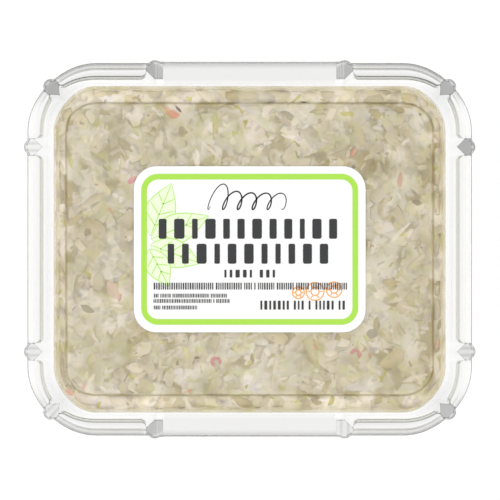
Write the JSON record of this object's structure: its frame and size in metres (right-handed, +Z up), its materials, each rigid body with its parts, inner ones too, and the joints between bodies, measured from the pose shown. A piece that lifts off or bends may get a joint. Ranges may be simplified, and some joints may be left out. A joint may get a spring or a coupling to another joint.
{
  "type": "coleslaw",
  "caption": "Creamy chopped coleslaw with carrot shreds, shut in a clear rectangular plastic tub with a press-fit lid and a plain label.",
  "frame": {"origin": "middle of the flat base, on the surface the tub stands on", "axes": "+Z up towards the lid; X along the long side; Y along the short side, with -Y the front (bottom edge of the label)"},
  "size_m": [0.1522, 0.128, 0.04],
  "materials": {
    "tub_plastic": "clear thin thermoformed plastic, glossy",
    "lid_plastic": "clear thin thermoformed plastic, glossy, with rounded ribs at the rim",
    "label_paper": "smooth coated white paper with a bright green printed frame and simple printed shapes",
    "coleslaw": null
  },
  "bodies": {
    "root": {"tub": "tub_plastic", "lid": "lid_plastic", "label": "label_paper", "coleslaw": "coleslaw"}
  },
  "joints": []
}
